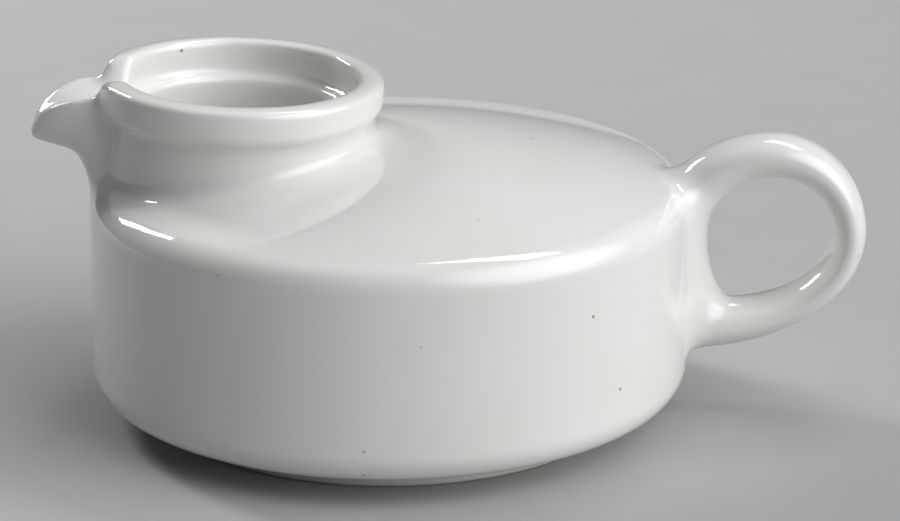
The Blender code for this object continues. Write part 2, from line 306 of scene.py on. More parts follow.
def crown(reach, level):
    """The crown from the axis out to a radius, as rings above the level of its edge."""
    shares = [i / CROWN_RINGS for i in range(CROWN_RINGS)]
    return [(reach * share, level + CROWN * (1.0 - share ** CROWN_POWER)) for share in shares]


def crowned_edge(depth):
    """Crown and round edge, at a depth under the glaze."""
    radius = SHOULDER_RADIUS - depth
    points = crown(edge_x + radius * math.sin(edge_slope), edge_z + radius * math.cos(edge_slope))
    return points + arc(edge_x, edge_z, radius, 90 - math.degrees(edge_slope), 0, EDGE_STEPS)


crown_reach = edge_x + SHOULDER_RADIUS * math.sin(edge_slope)
crown_level = edge_z + SHOULDER_RADIUS * math.cos(edge_slope)


def crown_z(x, y):
    """Height of the top at a point."""
    share = min(1.0, math.hypot(x - AXIS_X, y) / crown_reach)
    return crown_level + CROWN * (1.0 - share ** CROWN_POWER)


def off_drum(point):
    """Distance of a point from the drum's outside."""
    across = math.hypot(point.x - AXIS_X, point.y)
    if point.z < edge_z:
        return across - RADIUS
    if across < crown_reach:
        return (point.z - crown_z(point.x, point.y)) * math.cos(edge_slope)
    return math.hypot(across - edge_x, point.z - edge_z) - SHOULDER_RADIUS


shoulder_profile = crowned_edge(0.0) + [(RADIUS, joint_z), (inner_radius, joint_z)]
shoulder_profile += reversed(crown(inner_radius, edge_z + UNDERSIDE_RISE))
shoulder = turn("glazed_shoulder", shoulder_profile)
carve(shoulder, throat_cutter())
shade(shoulder)
settle(shoulder, "shoulder", "shoulder")
print("crown", round(crown_z(AXIS_X, 0.0) / MM, 2), "mm above the table")

# %% [markdown]
# ## Soft joints
# Collar, rim and beak are pressed together while the clay is soft, and the glaze then rounds every
# inside corner. That is hard to draw as a profile, so these pieces are first made as simple closed
# shapes, pushed into each other and into a patch of the drum, and then remeshed as one skin and
# smoothed. The patch makes the skin run out exactly along the drum, and its border is sunk a hair's
# breadth under the drum's own surface, at so flat an angle that no edge shows.

# %% Helpers for soft joints
VOXEL = 0.5 * MM
SHELL = 2.8 * MM
SKIN_ROUNDS = 12


def drum_patch(name, tool):
    """A shell of the drum's outside, cut down to the volume of a tool."""
    profile = crowned_edge(0.0)
    profile += arc(heel_x, heel_z, HEEL_RADIUS, 0, -90, 16)
    profile += arc(heel_x, heel_z, HEEL_RADIUS - SHELL, -90, 0, 8)
    profile += reversed(crowned_edge(SHELL))
    patch = turn(name, profile)
    carve(patch, tool, "INTERSECT")
    return patch


def clay_ball(centre, radii):
    """A pressed lump of clay that fills a hollow between two pieces."""
    start_clean()
    bpy.ops.mesh.primitive_uv_sphere_add(segments=64, ring_count=32, radius=1.0)
    lump = bpy.context.object
    lump.data.transform(Matrix.Translation(centre) @ Matrix.Diagonal((*radii, 1.0)))
    return lump


def drop_crumbs(skin):
    """Keep the skin that holds the highest point, and delete the crumbs that a remesh can leave."""
    highest = max(skin.data.vertices, key=lambda vertex: vertex.co.z).index
    bpy.ops.object.mode_set(mode="EDIT")
    bpy.ops.mesh.select_mode(type="VERT")
    bpy.ops.mesh.select_all(action="DESELECT")
    bpy.ops.object.mode_set(mode="OBJECT")
    skin.data.vertices[highest].select = True
    bpy.ops.object.mode_set(mode="EDIT")
    bpy.ops.mesh.select_linked()
    bpy.ops.mesh.select_all(action="INVERT")
    bpy.ops.mesh.delete(type="VERT")
    bpy.ops.object.mode_set(mode="OBJECT")


def melt(pieces):
    """Join closed shapes, remesh them as one skin and smooth it."""
    start_clean()
    for piece in pieces:
        piece.select_set(True)
    bpy.context.view_layer.objects.active = pieces[0]
    bpy.ops.object.join()
    skin = bpy.context.object
    apply_modifier(skin, "REMESH", "skin", mode="VOXEL", voxel_size=VOXEL, adaptivity=0.0)
    drop_crumbs(skin)
    apply_modifier(skin, "SMOOTH", "soften", factor=0.5, iterations=SKIN_ROUNDS)
    return skin


def soften(skin, softness, rounds):
    """Smooth a part of a skin. softness gives each vertex its share from 0 to 1."""
    group = skin.vertex_groups.new(name="soft")
    for vertex in skin.data.vertices:
        share = softness(vertex.co)
        if share > 0.001:
            group.add([vertex.index], share, "REPLACE")
    apply_modifier(skin, "SMOOTH", "soften", factor=0.5, iterations=rounds, vertex_group="soft")
    skin.vertex_groups.clear()


def smoothstep(low, high, value):
    """Rise from 0 at low to 1 at high, level at both ends."""
    share = min(1.0, max(0.0, (value - low) / (high - low)))
    return share * share * (3.0 - 2.0 * share)


def sink(skin, depth):
    """Push the border of a skin under the drum. depth gives each vertex its distance."""
    normals = [vertex.normal.copy() for vertex in skin.data.vertices]
    for vertex, normal in zip(skin.data.vertices, normals):
        vertex.co -= normal * depth(vertex.co)
    skin.data.update()


print("a melted skin has faces of about", round(VOXEL / MM, 2), "mm")

# %% [markdown]
# ## Neck, rim and beak
# The neck is a ring about its own axis: throat, gallery ledge, inner wall, crest, outer face, the crease
# under the rolled rim, and the waist, which goes down into the shoulder. The solids have collar and rim
# apart, but the glaze shows no seam between them, so here they are turned as one. The cove at the neck's
# foot isn't drawn: smoothing makes it where the waist meets the crown.

# %% Neck ring
RIM_THICK = 4.9 * MM
INNER_EDGE = 1.0 * MM
OUTER_EDGE = 1.3 * MM
UNDER_EDGE = 2.0 * MM
LEDGE_EDGE = 0.7 * MM
LEDGE_COVE = 1.2 * MM
LEDGE_COVE_HEIGHT = 1.4 * MM
NECK_ROOT_Z = -3.0 * MM
LEDGE_Z = RIM_HEIGHT - 6.6 * MM
CREASE_Z = RIM_HEIGHT - 7.0 * MM
WAIST = RIM_RADIUS - 2.4 * MM
inner_wall = RIM_RADIUS - RIM_THICK
inner_edge_z = RIM_HEIGHT - INNER_EDGE - 0.1 * MM
outer_edge_z = RIM_HEIGHT - OUTER_EDGE - 0.2 * MM
neck_profile = arc(inner_wall + INNER_EDGE, inner_edge_z, INNER_EDGE, 180, 90, CORNER_STEPS)
neck_profile += [(inner_wall + 2.0 * INNER_EDGE, RIM_HEIGHT)]
neck_profile += arc(RIM_RADIUS - OUTER_EDGE, outer_edge_z, OUTER_EDGE, 90, 0, CORNER_STEPS)
neck_profile += arc(RIM_RADIUS - UNDER_EDGE, CREASE_Z + UNDER_EDGE, UNDER_EDGE, 0, -90, 8)
neck_profile += [(WAIST + 0.2 * MM, CREASE_Z), (WAIST, CREASE_Z - 0.9 * MM)]
neck_profile += [(WAIST, NECK_ROOT_Z), (THROAT_RADIUS, NECK_ROOT_Z)]
neck_profile += arc(THROAT_RADIUS + LEDGE_EDGE, LEDGE_Z - LEDGE_EDGE, LEDGE_EDGE, 180, 90, 4)
ledge_cove_z = LEDGE_Z + LEDGE_COVE_HEIGHT
cove_stretch = LEDGE_COVE_HEIGHT / LEDGE_COVE
neck_profile += arc(inner_wall - LEDGE_COVE, ledge_cove_z, LEDGE_COVE, -90, 0, CORNER_STEPS, cove_stretch)
neck = turn("glazed_neck_rim_and_beak", neck_profile, 0.0)
print("neck ring", len(neck.data.vertices), "vertices")

# %% [markdown]
# The rim is open towards the beak. The ring could be left open there, but a cutter also shapes the round
# corners of the notch and its flared top: a ring of points is set on the notch's section, filled, and
# extruded through the rim.

# %% Notch in the rim
NOTCH_HALF = 5.5 * MM
NOTCH_FLOOR = LEDGE_Z + 0.2 * MM
NOTCH_CORNER = 2.6 * MM
NOTCH_LENGTH = 10.5 * MM
NOTCH_FLARE = ((3.4 * MM, 3.0 * MM), (1.6 * MM, -0.6 * MM))
notch_start = -THROAT_RADIUS + 1.0 * MM
section = [(NOTCH_HALF + wider, RIM_HEIGHT + higher) for wider, higher in NOTCH_FLARE]
section += arc(NOTCH_HALF - NOTCH_CORNER, NOTCH_FLOOR + NOTCH_CORNER, NOTCH_CORNER, 0, -90, CORNER_STEPS)
section += [(-y, z) for y, z in reversed(section)]
notch = ring_of_points("notch", [(notch_start, y, z) for y, z in section])
bpy.ops.object.mode_set(mode="EDIT")
bpy.ops.mesh.select_all(action="SELECT")
bpy.ops.mesh.edge_face_add()
bpy.ops.mesh.extrude_region_move(TRANSFORM_OT_translate={"value": (-NOTCH_LENGTH, 0.0, 0.0)})
tidy_mesh()
bpy.ops.object.mode_set(mode="OBJECT")
carve(neck, notch)
lean(neck)
print("notch cut,", len(neck.data.polygons), "faces left on the neck")

# %% [markdown]
# The beak is drawn out of soft clay: its lips lie on a half oval that droops to the tip, its keel sweeps
# back into the drum, and a shallow channel runs along its top. It could be sculpted, but sections keep
# both halves alike and the sizes exact. A ring of points is set on the first section and extruded forward
# section by section, and both ends are filled.

# %% Beak
BEAK_REACH = 12.3 * MM
BEAK_HALF = 7.9 * MM
BEAK_START = AXIS_X - NECK_OFFSET - RIM_RADIUS
RIM_TOP = SHOULDER_Z + RIM_HEIGHT
TIP_Z = RIM_TOP - 11.45 * MM
LIP_Z = RIM_TOP - 2.75 * MM
TIP_HALF = 0.7 * MM
TIP_DEPTH = 0.9 * MM
KEEL_SLOPE = 0.27
KEEL_DROP = 9.0 * MM
KEEL_STRAIGHT = 1.5 * MM
KEEL_SWEEP = 3.3 * MM
HULL_FULLNESS = 0.8
CHANNEL = 3.0 * MM
LIP_EDGE = 1.2 * MM
LEAST_TROUGH = 0.35
HULL_STEPS = 26
TROUGH_STEPS = 12


def beak_section(share, back=0.0):
    """Points across the beak, share from 0 at the rim to 1 at the tip."""
    run = BEAK_REACH * share
    swell = math.sqrt(max(0.0, 1.0 - share * share))
    half = BEAK_HALF * swell + TIP_HALF
    lip_z = TIP_Z + (LIP_Z - TIP_Z) * swell
    straight_keel = TIP_Z - TIP_DEPTH - KEEL_SLOPE * (BEAK_REACH - run)
    fade = max(0.0, 1.0 - max(0.0, run - KEEL_STRAIGHT) / KEEL_SWEEP)
    keel_z = straight_keel - KEEL_DROP * (1.0 - math.sqrt(max(0.0, 1.0 - fade * fade)))
    channel_z = lip_z - CHANNEL * swell
    x = BEAK_START - run + back
    points = []
    for i in range(HULL_STEPS + 1):
        angle = math.pi * i / HULL_STEPS
        depth = (lip_z - keel_z) * abs(math.sin(angle)) ** HULL_FULLNESS
        points.append((x, half * math.cos(angle), lip_z - depth))
    trough = max(half - LIP_EDGE, LEAST_TROUGH * half)
    for i in range(TROUGH_STEPS + 1):
        across = -1.0 + 2.0 * i / TROUGH_STEPS
        points.append((x, trough * across, channel_z + (lip_z - channel_z) * across * across))
    return points


def draw_out(name, loops):
    """Extrude a ring of points through a row of sections. Both ends stay open."""
    piece = ring_of_points(name, loops[0])
    count = len(loops[0])
    for loop in loops[1:]:
        bpy.ops.object.mode_set(mode="EDIT")
        bpy.ops.mesh.select_mode(type="VERT")
        bpy.ops.mesh.extrude_edges_move()
        bpy.ops.object.mode_set(mode="OBJECT")
        for vertex, point in zip(piece.data.vertices[-count:], loop):
            vertex.co = point
    return piece


def close_ends():
    """Fill the two open ends of the piece that was just drawn out."""
    bpy.ops.object.mode_set(mode="EDIT")
    bpy.ops.mesh.select_all(action="DESELECT")
    bpy.ops.mesh.select_non_manifold()
    bpy.ops.mesh.edge_face_add()
    tidy_mesh()
    bpy.ops.object.mode_set(mode="OBJECT")


BEAK_ROOT = 6.5 * MM
BEAK_SECTIONS = 18
shares = [math.sin(0.5 * math.pi * i / BEAK_SECTIONS) for i in range(BEAK_SECTIONS + 1)]
beak_loops = [beak_section(0.0, BEAK_ROOT)] + [beak_section(share) for share in shares]
beak = draw_out("beak", beak_loops)
close_ends()
print("beak", len(beak.data.vertices), "vertices")

# %% [markdown]
# The beak's root reaches into the neck and would fill the mouth, so the throat and the ledge are cleared
# out of it with the neck's own inside.

# %% Clear the mouth out of the beak
MOUTH_TOP = RIM_HEIGHT + 4.0 * MM
MOUTH_FOOT = -20.0 * MM
mouth_radius = inner_wall + 0.2 * MM
mouth_profile = [(0.0, MOUTH_TOP), (mouth_radius, MOUTH_TOP), (mouth_radius, LEDGE_Z)]
mouth_profile += [(THROAT_RADIUS, LEDGE_Z), (THROAT_RADIUS, MOUTH_FOOT), (0.0, MOUTH_FOOT)]
mouth = turn("mouth", mouth_profile, 0.0)
lean(mouth)
carve(beak, mouth)
print("beak cleared,", len(beak.data.polygons), "faces left")

# %% [markdown]
# Under the beak the neck, the keel and the drum's edge leave a pinched hollow, and a lump of clay fills
# it. Bevels could round each joint by itself, but where three joints meet they run into each other, so
# neck, beak, lump and a patch of the drum are melted together.

# %% Melt neck, beak and shoulder together
PATCH_REACH = 35.0 * MM
PATCH_HEIGHT = 24.0 * MM
KEEL_LUMP = (AXIS_X - 45.0 * MM, 0.0, 43.0 * MM)
KEEL_LUMP_RADII = (10.0 * MM, 14.0 * MM, 6.5 * MM)
start_clean()
bpy.ops.mesh.primitive_cylinder_add(vertices=CUTTER_SIDES, radius=PATCH_REACH, depth=PATCH_HEIGHT)
patch_tool = bpy.context.object
patch_tool.data.transform(Matrix.Translation((NECK_X, 0.0, SHOULDER_Z)))
patch = drum_patch("neck_patch", patch_tool)
carve(patch, throat_cutter())
clay = clay_ball(KEEL_LUMP, KEEL_LUMP_RADII)
carve(clay, throat_cutter())
neck = melt([neck, beak, patch, clay])
neck.name = "glazed_neck_rim_and_beak"
print("neck skin", len(neck.data.vertices), "vertices")

# %% [markdown]
# One amount of smoothing doesn't suit the whole skin. The ends of the rim beside the beak and the hollow
# under the beak are far softer on the real pot than the rest, so these places are smoothed further, each
# inside a ball that fades out at its border.

# %% Soften the rim's ends and the hollow under the beak


def ball(centre, inside, outside):
    """Share that is 1 inside a ball and fades to 0 at a larger one."""
    return lambda point: 1.0 - smoothstep(inside, outside, (point - centre).length)


RIM_END_ROUNDS = 70
HOLLOW_ROUNDS = 110
KEEL_ROUNDS = 30
for side in (-1.0, 1.0):
    rim_end = Vector((BEAK_START + 2.2 * MM, side * (NOTCH_HALF + 1.2 * MM), RIM_TOP - 1.5 * MM))
    soften(neck, ball(rim_end, 2.4 * MM, 5.4 * MM), RIM_END_ROUNDS)
    hollow = Vector((BEAK_START + 0.5 * MM, side * 8.5 * MM, SHOULDER_Z + 7.0 * MM))
    soften(neck, ball(hollow, 4.0 * MM, 9.0 * MM), HOLLOW_ROUNDS)
keel_root = Vector((BEAK_START - 0.5 * MM, 0.0, SHOULDER_Z + 1.0 * MM))
soften(neck, ball(keel_root, 3.0 * MM, 7.5 * MM), KEEL_ROUNDS)
print("rim ends, hollows and keel softened")

# %% [markdown]
# The crease under the rolled rim and the cove round the neck's foot run round the neck, so their shares
# come from the distance to a circle, and the thick lip of the beak takes in all of the beak outside the
# rim. The cove gets the most rounds, because it is the widest.

# %% Soften the crease, the cove and the lip
CREASE_ROUNDS = 24
COVE_ROUNDS = 180
LIP_ROUNDS = 16


def crease(point):
    """Share along the crease under the rolled rim."""
    local = NECK_FRAME.inverted() @ point
    radius = math.hypot(local.x, local.y)
    if radius < WAIST - 1.5 * MM:
        return 0.0
    away = math.hypot(radius - WAIST - 0.3 * MM, local.z - CREASE_Z)
    return 1.0 - smoothstep(0.6 * MM, 2.2 * MM, away)


def cove(point):
    """Share round the neck's foot, where the waist meets the crown."""
    reach = math.hypot(point.x - NECK_X, point.y)
    above = point.z - crown_z(point.x, point.y)
    away = math.hypot(reach - WAIST - 1.0 * MM, above - 0.5 * MM)
    return 1.0 - smoothstep(3.0 * MM, 6.5 * MM, away)


def lip(point):
    """Share on the beak outside the rim, whose lip is thick and round."""
    if point.z < SHOULDER_Z + 6.0 * MM:
        return 0.0
    return 1.0 - smoothstep(BEAK_START - 3.5 * MM, BEAK_START - 1.0 * MM, point.x)


soften(neck, crease, CREASE_ROUNDS)
soften(neck, cove, COVE_ROUNDS)
soften(neck, lip, LIP_ROUNDS)
print("crease, cove and lip softened")

# %% [markdown]
# The border of the skin lies exactly on the drum, where two surfaces in one place would flicker. Cutting
# it off would leave the skin open, so it is sunk along its normals instead, and the depth grows slowly
# from nothing.

# %% Sink the neck's border
SINK = 0.3 * MM


def neck_depth(point):
    """How deep the skin's border goes: away from the neck, and down the wall."""
    if point.z > crown_z(point.x, point.y) + 1.5 * MM:
        return 0.0
    reach = math.hypot(point.x - NECK_X, point.y)
    outward = smoothstep(30.0 * MM, PATCH_REACH - 1.5 * MM, reach)
    downward = 1.0 - smoothstep(35.0 * MM, 41.0 * MM, point.z)
    return SINK * max(outward, downward)


sink(neck, neck_depth)
shade(neck, 60.0)
settle(neck, "rim", "neck_collar", "rim_bead", "spout")

# %% [markdown]
# ## Handle
# The handle is a closed loop with a D-shaped hole. Two outlines are drawn in the plane of symmetry, one
# round the hole and one round the outside, and the strap's sections lie between them. Where the strap
# comes near the drum it spreads, as clay does when the handle is pressed on. A curve with a bevel could
# make a plain strap, but its section couldn't change its form like this on the way round.

# %% Handle outlines
SIDE_Z = 33.8 * MM
HOLE_LEFT = (RADIUS + 3.7 * MM, SIDE_Z)
HOLE_TOP = (RADIUS + 15.5 * MM, 44.5 * MM)
HOLE_RIGHT = (RADIUS + 26.65 * MM, SIDE_Z)
HOLE_FOOT = (RADIUS + 8.5 * MM, 21.0 * MM)
LOOP_LEFT = (RADIUS - 7.2 * MM, SIDE_Z)
LOOP_TOP = (RADIUS + 15.0 * MM, 52.7 * MM)
LOOP_RIGHT = (RADIUS + 32.85 * MM, SIDE_Z)
LOOP_FOOT = (RADIUS, 11.6 * MM)
HANDLE_STEPS = 30


def oval(left, top, right, foot):
    """A closed outline of four quarter ovals through four (distance from the drum's axis, z) points."""
    corners = [left, top, right, foot]
    outline = []
    for quarter, start in enumerate(corners):
        end = corners[(quarter + 1) % 4]
        begins_upright = quarter % 2 == 0
        for i in range(HANDLE_STEPS):
            angle = 0.5 * math.pi * i / HANDLE_STEPS
            grow = math.sin(angle)
            stay = 1.0 - math.cos(angle)
            along_x, along_z = (stay, grow) if begins_upright else (grow, stay)
            x = start[0] + (end[0] - start[0]) * along_x
            z = start[1] + (end[1] - start[1]) * along_z
            outline.append((x, z))
    return outline


hole_outline = oval(HOLE_LEFT, HOLE_TOP, HOLE_RIGHT, HOLE_FOOT)
outer_outline = oval(LOOP_LEFT, LOOP_TOP, LOOP_RIGHT, LOOP_FOOT)
print("handle outlines of", len(hole_outline), "points")

# %% [markdown]
# A section is an oval between one point of each outline. Its half width grows near the drum, and since
# the width changes how near it is, it is found in a few rounds. The first section is extruded once round
# the loop and merged with its start.

# %% Handle sections
STRAP_SIDES = 44
STRAP_HALF = 6.2 * MM
FLARE = 5.2 * MM
ROOT_IN = 3.4 * MM
SPREAD_ROUNDS = 4


def strap_section(inner, outer):
    """One section of the strap, spread where it is close to the drum."""
    points = []
    for i in range(STRAP_SIDES):
        angle = 2.0 * math.pi * i / STRAP_SIDES
        depth = math.cos(angle)
        side = math.sin(angle)
        x = 0.5 * (inner[0] + outer[0]) + 0.5 * (outer[0] - inner[0]) * depth
        z = 0.5 * (inner[1] + outer[1]) + 0.5 * (outer[1] - inner[1]) * depth
        half = STRAP_HALF * abs(side)
        for _ in range(SPREAD_ROUNDS):
            gap = off_drum(Vector((AXIS_X + x, half, z)))
            near = min(1.0, max(0.0, 1.0 - gap / FLARE))
            spread = FLARE * (1.0 - math.sqrt(1.0 - near * near))
            half = STRAP_HALF * abs(side) + spread * math.sqrt(1.0 - depth ** 4)
        points.append((AXIS_X + max(x, RADIUS - ROOT_IN), math.copysign(half, side), z))
    return points


strap_loops = [strap_section(a, b) for a, b in zip(hole_outline, outer_outline)]
handle = draw_out("glazed_handle", strap_loops + [strap_loops[0]])
bpy.ops.object.mode_set(mode="EDIT")
tidy_mesh()
bpy.ops.object.mode_set(mode="OBJECT")
print("handle ring", len(handle.data.vertices), "vertices")

# %% [markdown]
# The loop is melted onto a patch of the wall, the heel and the shoulder's edge, and a lump of clay makes
# the round saddle where the strap leaves the shoulder.

# %% Melt the handle onto the wall
PATCH_SIZE = (14.0 * MM, 44.0 * MM, 60.0 * MM)
PATCH_CENTRE = (AXIS_X + RADIUS - 5.0 * MM, 0.0, 30.0 * MM)
SADDLE_LUMP = (AXIS_X + 53.2 * MM, 0.0, 41.6 * MM)
SADDLE_LUMP_RADII = (4.6 * MM, 7.5 * MM, 4.4 * MM)
start_clean()
bpy.ops.mesh.primitive_cube_add(size=1.0)
patch_tool = bpy.context.object
patch_tool.data.transform(Matrix.Translation(PATCH_CENTRE) @ Matrix.Diagonal((*PATCH_SIZE, 1.0)))
patch = drum_patch("handle_patch", patch_tool)
clay = clay_ball(SADDLE_LUMP, SADDLE_LUMP_RADII)
handle = melt([handle, patch, clay])
handle.name = "glazed_handle"
print("handle skin", len(handle.data.vertices), "vertices")

# %% [markdown]
# All of the root close to the drum is now softened, and the border is sunk as on the neck: at both sides,
# under the heel and on the shoulder.

# %% Soften the root and sink the border
ROOT_ROUNDS = 90


def handle_root(point):
    """Share close to the drum, where the handle was pressed on."""
    distance = off_drum(point)
    if distance < -0.4 * MM:
        return 0.0
    close = 1.0 - smoothstep(1.5 * MM, 6.0 * MM, distance)
    middle = 1.0 - smoothstep(15.0 * MM, 20.0 * MM, abs(point.y))
    return close * middle


soften(handle, handle_root, ROOT_ROUNDS)


def handle_depth(point):
    """How deep the skin's border goes: sideways, under the heel and in over the shoulder."""
    if off_drum(point) > 0.6 * MM:
        return 0.0
    sideways = smoothstep(13.0 * MM, 20.0 * MM, abs(point.y))
    downward = 1.0 - smoothstep(5.5 * MM, 9.0 * MM, point.z)
    inward = 0.0
    if point.z > edge_z:
        inward = smoothstep(6.0 * MM, 10.0 * MM, AXIS_X + RADIUS - point.x)
    return SINK * max(sideways, downward, inward)


sink(handle, handle_depth)
shade(handle, 60.0)
settle(handle, "handle", "handle")

# %% [markdown]
# ## Glaze
# White glaze is never one flat white. It is a shade warmer where it lies thick, its surface is very
# slightly wavy from the firing, and it has the odd speck from the kiln. Two node groups give these as
# colours, values and heights, and the shader itself stays in each material.

# %% Helpers for nodes


def new_group(name, inputs, outputs):
    """An empty shader group with named sockets, and its input and output nodes."""
    group = bpy.data.node_groups.new(name, "ShaderNodeTree")
    for label, kind in inputs:
        group.interface.new_socket(name=label, in_out="INPUT", socket_type="NodeSocket" + kind)
    for label, kind in outputs:
        group.interface.new_socket(name=label, in_out="OUTPUT", socket_type="NodeSocket" + kind)
    return group, group.nodes.new("NodeGroupInput"), group.nodes.new("NodeGroupOutput")


def node(tree, kind, **settings):
    """A node with its sockets set by name, underscores for spaces."""
    made = tree.nodes.new(kind)
    for key, value in settings.items():
        made.inputs[key.replace("_", " ")].default_value = value
    return made


def ranged(tree, value, low, high, first, second):
    """Map a value from low..high to first..second."""
    made = node(tree, "ShaderNodeMapRange", From_Min=low, From_Max=high, To_Min=first, To_Max=second)
    tree.links.new(value, made.inputs["Value"])
    return made.outputs["Result"]


def mixed(tree, share, first, second):
    """Mix two colours, given as colours or as sockets, by a value."""
    made = tree.nodes.new("ShaderNodeMix")
    made.data_type = "RGBA"
    tree.links.new(share, made.inputs[0])
    for socket, colour in ((made.inputs[6], first), (made.inputs[7], second)):
        if isinstance(colour, tuple):
            socket.default_value = (*colour, 1.0)
        else:
            tree.links.new(colour, socket)
    return made.outputs[2]


# %% Glaze tone: colour, gloss and wave
glaze_tone, given, out = new_group(
    "glaze_tone",
    (("Thin", "Color"), ("Thick", "Color"), ("Cloud Scale", "Float"), ("Wave Scale", "Float")),
    (("Colour", "Color"), ("Roughness", "Float"), ("Wave", "Float")),
)
place = node(glaze_tone, "ShaderNodeTexCoord")
cloud = node(glaze_tone, "ShaderNodeTexNoise", Detail=3.0, Roughness=0.55)
glaze_tone.links.new(place.outputs["Object"], cloud.inputs["Vector"])
glaze_tone.links.new(given.outputs["Cloud Scale"], cloud.inputs["Scale"])
pooled = ranged(glaze_tone, cloud.outputs["Fac"], 0.3, 0.7, 0.0, 1.0)
white = mixed(glaze_tone, pooled, given.outputs["Thin"], given.outputs["Thick"])
glaze_tone.links.new(white, out.inputs["Colour"])
fine = node(glaze_tone, "ShaderNodeTexNoise", Scale=420.0, Detail=2.0)
glaze_tone.links.new(place.outputs["Object"], fine.inputs["Vector"])
gloss = ranged(glaze_tone, fine.outputs["Fac"], 0.3, 0.7, 0.04, 0.09)
glaze_tone.links.new(gloss, out.inputs["Roughness"])
wave = node(glaze_tone, "ShaderNodeTexNoise", Detail=1.0, Roughness=0.4)
glaze_tone.links.new(place.outputs["Object"], wave.inputs["Vector"])
glaze_tone.links.new(given.outputs["Wave Scale"], wave.inputs["Scale"])
glaze_tone.links.new(wave.outputs["Fac"], out.inputs["Wave"])
print("group", glaze_tone.name, "with", len(glaze_tone.nodes), "nodes")

# %% [markdown]
# A speck is a grain of iron or ash that melts into the glaze. Specks could be painted on, but a Voronoi
# texture strews them by itself: the random colour of each cell serves as dice, one channel says whether
# the cell gets a dot at its middle, and another how dark or rusty the dot is.

# %% Kiln specks: rare small dots, dark or rust
kiln_specks, given, out = new_group(
    "kiln_specks",
    (("Colour", "Color"), ("Dark", "Color"), ("Rust", "Color"), ("Rarity", "Float")),
    (("Colour", "Color"),),
)
place = node(kiln_specks, "ShaderNodeTexCoord")
cells = node(kiln_specks, "ShaderNodeTexVoronoi", Scale=200.0)
kiln_specks.links.new(place.outputs["Object"], cells.inputs["Vector"])
dice = node(kiln_specks, "ShaderNodeSeparateColor")
kiln_specks.links.new(cells.outputs["Color"], dice.inputs["Color"])
rare = node(kiln_specks, "ShaderNodeMath")
rare.operation = "GREATER_THAN"
kiln_specks.links.new(dice.outputs["Red"], rare.inputs[0])
kiln_specks.links.new(given.outputs["Rarity"], rare.inputs[1])
dot = node(kiln_specks, "ShaderNodeMath")
dot.operation = "MULTIPLY"
near_middle = ranged(kiln_specks, cells.outputs["Distance"], 0.04, 0.085, 1.0, 0.0)
kiln_specks.links.new(near_middle, dot.inputs[0])
kiln_specks.links.new(rare.outputs["Value"], dot.inputs[1])
tint = mixed(kiln_specks, dice.outputs["Green"], given.outputs["Dark"], given.outputs["Rust"])
speckled = mixed(kiln_specks, dot.outputs["Value"], given.outputs["Colour"], tint)
kiln_specks.links.new(speckled, out.inputs["Colour"])
print("group", kiln_specks.name, "with", len(kiln_specks.nodes), "nodes")

# %% [markdown]
# Every glaze has the same recipe with its own two whites: one for the outside, one for the floor of the
# drum and one for the foot.

# %% Glazed material


def placed(tree, group, **settings):
    """A group's node with its own values."""
    made = tree.nodes.new("ShaderNodeGroup")
    made.node_tree = group
    for key, value in settings.items():
        plain = (*value, 1.0) if isinstance(value, tuple) else value
        made.inputs[key.replace("_", " ")].default_value = plain
    return made


def glazed(name, thin, thick, rarity):
    """A white glaze between two tones, with specks, fine gloss changes and a faint wave."""
    material = bpy.data.materials.new(name)
    material.use_nodes = True
    tree = material.node_tree
    shader = tree.nodes["Principled BSDF"]
    shader.inputs["IOR"].default_value = 1.52
    shader.inputs["Coat Weight"].default_value = 0.3
    shader.inputs["Coat Roughness"].default_value = 0.03
    tone = placed(tree, glaze_tone, Thin=thin, Thick=thick, Cloud_Scale=34.0, Wave_Scale=110.0)
    specks = placed(tree, kiln_specks, Dark=(0.16, 0.15, 0.13), Rust=(0.36, 0.30, 0.12), Rarity=rarity)
    tree.links.new(tone.outputs["Colour"], specks.inputs["Colour"])
    tree.links.new(specks.outputs["Colour"], shader.inputs["Base Color"])
    tree.links.new(tone.outputs["Roughness"], shader.inputs["Roughness"])
    bump = node(tree, "ShaderNodeBump", Strength=0.2, Distance=0.2 * MM)
    tree.links.new(tone.outputs["Wave"], bump.inputs["Height"])
    tree.links.new(bump.outputs["Normal"], shader.inputs["Normal"])
    return material


porcelain = glazed("white_porcelain_glaze", (0.84, 0.84, 0.815), (0.80, 0.795, 0.76), 0.90)
inside_glaze = glazed("inside_glaze", (0.81, 0.80, 0.76), (0.76, 0.745, 0.69), 0.86)
print("materials:", porcelain.name, inside_glaze.name)

# %% [markdown]
# The foot has one step more. Its bearing face is wiped clean of glaze before firing, so its lowest half
# millimetre is bare, rough clay. That could be a second material, but the height above the table mixes
# colour and gloss just as well and leaves no hard border.

# %% Foot material
BARE_BELOW = 0.35 * MM
GLAZED_ABOVE = 0.55 * MM
BARE_CLAY = (0.70, 0.66, 0.58)
foot_glaze = glazed("foot_glaze_and_bare_clay", (0.82, 0.815, 0.79), (0.78, 0.77, 0.73), 0.86)
tree = foot_glaze.node_tree
shader = tree.nodes["Principled BSDF"]
glaze_colour = shader.inputs["Base Color"].links[0].from_socket
place = node(tree, "ShaderNodeTexCoord")
height = node(tree, "ShaderNodeSeparateXYZ")
tree.links.new(place.outputs["Object"], height.inputs["Vector"])
bare = ranged(tree, height.outputs["Z"], BARE_BELOW, GLAZED_ABOVE, 1.0, 0.0)
tree.links.new(mixed(tree, bare, glaze_colour, BARE_CLAY), shader.inputs["Base Color"])
tree.links.new(ranged(tree, bare, 0.0, 1.0, 0.08, 0.85), shader.inputs["Roughness"])
finishes = {foot: foot_glaze, base: inside_glaze, wall: porcelain}
finishes.update({shoulder: porcelain, neck: porcelain, handle: porcelain})
for piece, finish in finishes.items():
    piece.data.materials.clear()
    piece.data.materials.append(finish)
print("finished pieces:", ", ".join(piece.name for piece in finishes))

